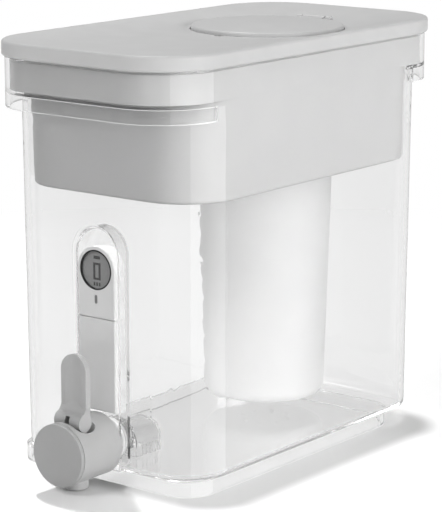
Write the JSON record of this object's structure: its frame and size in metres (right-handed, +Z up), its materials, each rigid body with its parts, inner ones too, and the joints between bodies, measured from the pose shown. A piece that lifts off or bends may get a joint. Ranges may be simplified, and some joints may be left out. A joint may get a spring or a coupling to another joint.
{
  "type": "gravity water filter with tap",
  "caption": "Clear countertop water dispenser with a nested reservoir, hanging bayonet filter, dished lid with a round fill door, barrel tap with lever and a slim display column",
  "frame": {"origin": "middle of the bounding box, on the table", "axes": "+Z up, -Y towards the tap at the narrow front end, +X across the tank"},
  "size_m": [0.1606, 0.3164, 0.2756],
  "materials": {
    "clear_plastic": "clear polished plastic",
    "grey_plastic": "fine satin moulded plastic",
    "reservoir_plastic": "satin moulded plastic",
    "filter_plastic": "satin moulded plastic",
    "tap_plastic": "satin moulded plastic",
    "rubber": "moulded rubber",
    "steel": "turned steel",
    "screen": "woven screen",
    "foam": "open felt pad",
    "carbon": "granules",
    "resin": "beads",
    "lcd": "grey liquid crystal panel",
    "black_plastic": "glossy black",
    "window": "clear",
    "board": "solder mask",
    "cell": "bright steel can"
  },
  "bodies": {
    "tank_body": {"tank": "clear_plastic", "spigot_body": "tap_plastic", "spigot_cap": "tap_plastic", "outer_gasket": "rubber", "inner_gasket": "rubber", "lock_nut": "clear_plastic", "inlet_cup": "clear_plastic", "lever_pin": "steel", "valve_bonnet": "filter_plastic", "stem_seal": "rubber", "valve_spring": "steel", "probe_pins": "steel", "probe_seals": "rubber"},
    "reservoir_body": {"reservoir": "reservoir_plastic"},
    "lid_body": {"lid": "grey_plastic", "door_pin": "steel"},
    "door_body": {"fill_door": "grey_plastic"},
    "filter_body": {"filter_housing": "filter_plastic", "filter_cap": "filter_plastic", "filter_seal": "rubber", "inlet_screen": "screen", "outlet_screen": "screen", "resin_bed": "resin", "bed_divider": "screen", "carbon_bed": "carbon", "distributor_foam": "foam"},
    "lever_body": {"lever": "tap_plastic"},
    "valve_body": {"valve_stem": "filter_plastic", "link_pin": "steel", "seat_cup": "rubber"},
    "meter_body": {"meter_front": "tap_plastic", "lower_panel": "tap_plastic", "meter_back": "tap_plastic", "battery_cover": "tap_plastic", "meter_screws": "steel", "lcd_bezel": "black_plastic", "display_window": "window", "lcd_panel": "lcd", "meter_board": "board", "coin_cells": "cell", "button_pad": "rubber"},
    "key_body": {"meter_button": "tap_plastic"}
  },
  "joints": [
    {"name": "reservoir_lift", "type": "slide", "parent": "tank_body", "child": "reservoir_body", "axis": [0, 0, 1], "range_m": [0, 0.26]},
    {"name": "lid_lift", "type": "slide", "parent": "reservoir_body", "child": "lid_body", "axis": [0, 0, 1], "range_m": [0, 0.06]},
    {"name": "door_hinge", "type": "hinge", "parent": "lid_body", "child": "door_body", "pos_m": [0, 0.11023, 0.2717], "axis": [-1, 0, 0], "range_deg": [0, 95]},
    {"name": "filter_turn", "type": "hinge", "parent": "reservoir_body", "child": "filter_body", "pos_m": [0, 0.05443, 0.185], "axis": [0, 0, 1], "range_deg": [0, 90]},
    {"name": "lever_swing", "type": "hinge", "parent": "tank_body", "child": "lever_body", "pos_m": [0, -0.14347, 0.0447], "axis": [1, 0, 0], "range_deg": [0, 25], "stiffness_Nm_per_rad": 0.12, "springref_deg": -14.32},
    {"name": "valve_lift", "type": "slide", "parent": "tank_body", "child": "valve_body", "axis": [0, 0, 1], "range_m": [0, 0.0032], "deforming": ["valve_spring"]},
    {"name": "meter_pull", "type": "slide", "parent": "tank_body", "child": "meter_body", "axis": [0, -1, 0], "range_m": [0, 0.013]},
    {"name": "key_press", "type": "slide", "parent": "meter_body", "child": "key_body", "axis": [0, 1, 0], "range_m": [0, 0.0006], "stiffness_N_per_m": 120, "springref_m": -0.001}
  ],
  "couplings": [
    {"joint": "valve_lift", "follows": "lever_swing", "m_per_rad": 0.0073155}
  ]
}
